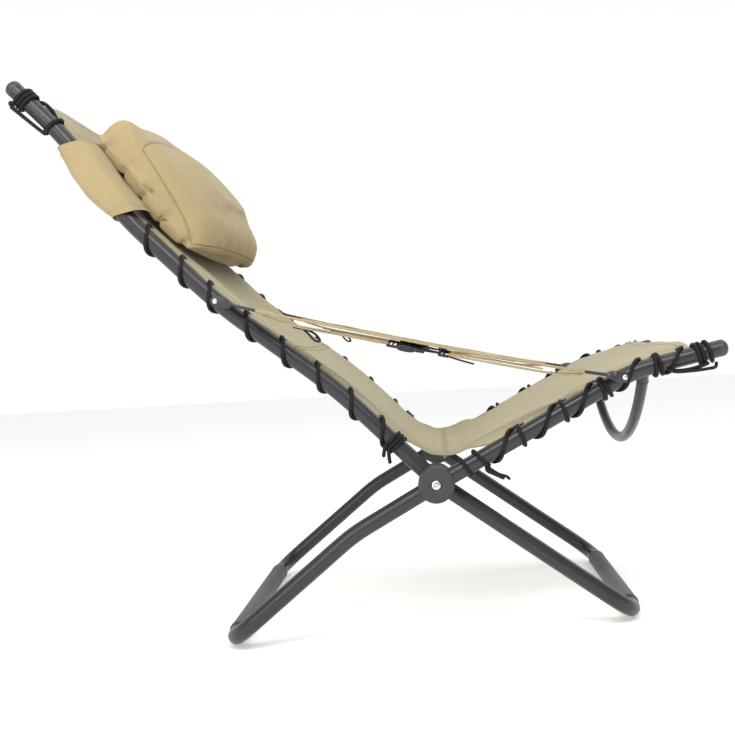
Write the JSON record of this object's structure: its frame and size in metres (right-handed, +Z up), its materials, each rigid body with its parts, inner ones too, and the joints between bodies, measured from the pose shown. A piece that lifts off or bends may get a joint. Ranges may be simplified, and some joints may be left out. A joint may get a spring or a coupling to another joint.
{
  "type": "folding recliner",
  "caption": "Folding X-frame recliner with a laced fabric sling, strap armrests and a sliding headrest pillow on a steel tube frame.",
  "frame": {"origin": "middle of the base, on the floor, under the middle of the whole length and width", "axes": "+Z up, +X the way the sitter faces, the sitter's right is -Y"},
  "size_m": [1.1799, 0.7298, 0.9714],
  "materials": {
    "frame_steel": "dark grey powder-coated steel tube",
    "link_steel": "dark grey powder-coated flat steel",
    "hub_plastic": "dark grey moulded plastic",
    "foot_plastic": "grey moulded plastic sleeve",
    "washer_plastic": "grey plastic washer",
    "bright_steel": "zinc-plated steel",
    "lace_cord": "black braided elastic cord",
    "sling_canvas": "tan plain-weave outdoor cloth",
    "arm_canvas": "tan folded and stitched cloth band",
    "headrest_canvas": "tan cloth, stuffed pillow and sleeve",
    "buckle_plastic": "black moulded buckle plastic",
    "webbing": "black woven webbing"
  },
  "bodies": {
    "seat_frame": {"seat_rail_right": "frame_steel", "seat_rail_left": "frame_steel", "seat_rail_cap_right": "hub_plastic", "seat_rail_cap_left": "hub_plastic", "rear_leg_frame": "frame_steel", "rear_foot_sleeve": "foot_plastic", "seat_bow_bar": "frame_steel", "outer_hub_right": "hub_plastic", "outer_hub_left": "hub_plastic", "pivot_bolt_right": "bright_steel", "pivot_bolt_left": "bright_steel", "pivot_nut_right": "bright_steel", "pivot_nut_left": "bright_steel", "hub_washer_right": "washer_plastic", "hub_washer_left": "washer_plastic", "front_arm_link_right": "link_steel", "front_arm_link_left": "link_steel", "front_arm_rivet_right": "bright_steel", "front_arm_rivet_left": "bright_steel", "seat_lacing_right": "lace_cord", "seat_lacing_left": "lace_cord", "sling_seat_panel": "sling_canvas", "front_lower_strap_right": "arm_canvas", "front_lower_strap_left": "arm_canvas", "front_slide_right": "buckle_plastic", "front_slide_left": "buckle_plastic", "front_webbing_right": "webbing", "front_webbing_left": "webbing", "webbing_tail_right": "webbing", "webbing_tail_left": "webbing", "buckle_plug_right": "buckle_plastic", "buckle_plug_left": "buckle_plastic"},
    "back_frame": {"back_rail_right": "frame_steel", "back_rail_left": "frame_steel", "back_rail_cap_right": "hub_plastic", "back_rail_cap_left": "hub_plastic", "front_leg_frame": "frame_steel", "front_foot_sleeve": "foot_plastic", "back_cross_bar": "frame_steel", "inner_hub_right": "hub_plastic", "inner_hub_left": "hub_plastic", "rear_arm_link_right": "link_steel", "rear_arm_link_left": "link_steel", "rear_arm_rivet_right": "bright_steel", "rear_arm_rivet_left": "bright_steel", "back_lacing_right": "lace_cord", "back_lacing_left": "lace_cord", "sling_back_panel": "sling_canvas", "sling_valley_panel": "sling_canvas", "arm_band_right": "arm_canvas", "arm_band_left": "arm_canvas", "rear_lower_strap_right": "arm_canvas", "rear_lower_strap_left": "arm_canvas", "rear_slide_right": "buckle_plastic", "rear_slide_left": "buckle_plastic", "buckle_socket_right": "buckle_plastic", "buckle_socket_left": "buckle_plastic"},
    "headrest": {"headrest_sleeve": "headrest_canvas", "headrest_pillow": "headrest_canvas"}
  },
  "joints": [
    {"name": "fold", "type": "hinge", "parent": "seat_frame", "child": "back_frame", "pos_m": [0.0968, 0, 0.259], "axis": [0, 1, 0], "range_deg": [0, 90], "deforming": ["sling_valley_panel", "arm_band_right", "arm_band_left", "rear_lower_strap_right", "rear_lower_strap_left", "front_lower_strap_right", "front_lower_strap_left", "rear_slide_right", "rear_slide_left", "front_slide_right", "front_slide_left", "buckle_socket_right", "buckle_socket_left", "buckle_plug_right", "buckle_plug_left", "front_webbing_right", "front_webbing_left", "webbing_tail_right", "webbing_tail_left"]},
    {"name": "headrest_slide", "type": "slide", "parent": "back_frame", "child": "headrest", "axis": [-0.5566, 0, 0.8308], "range_m": [-0.025, 0.025]}
  ]
}
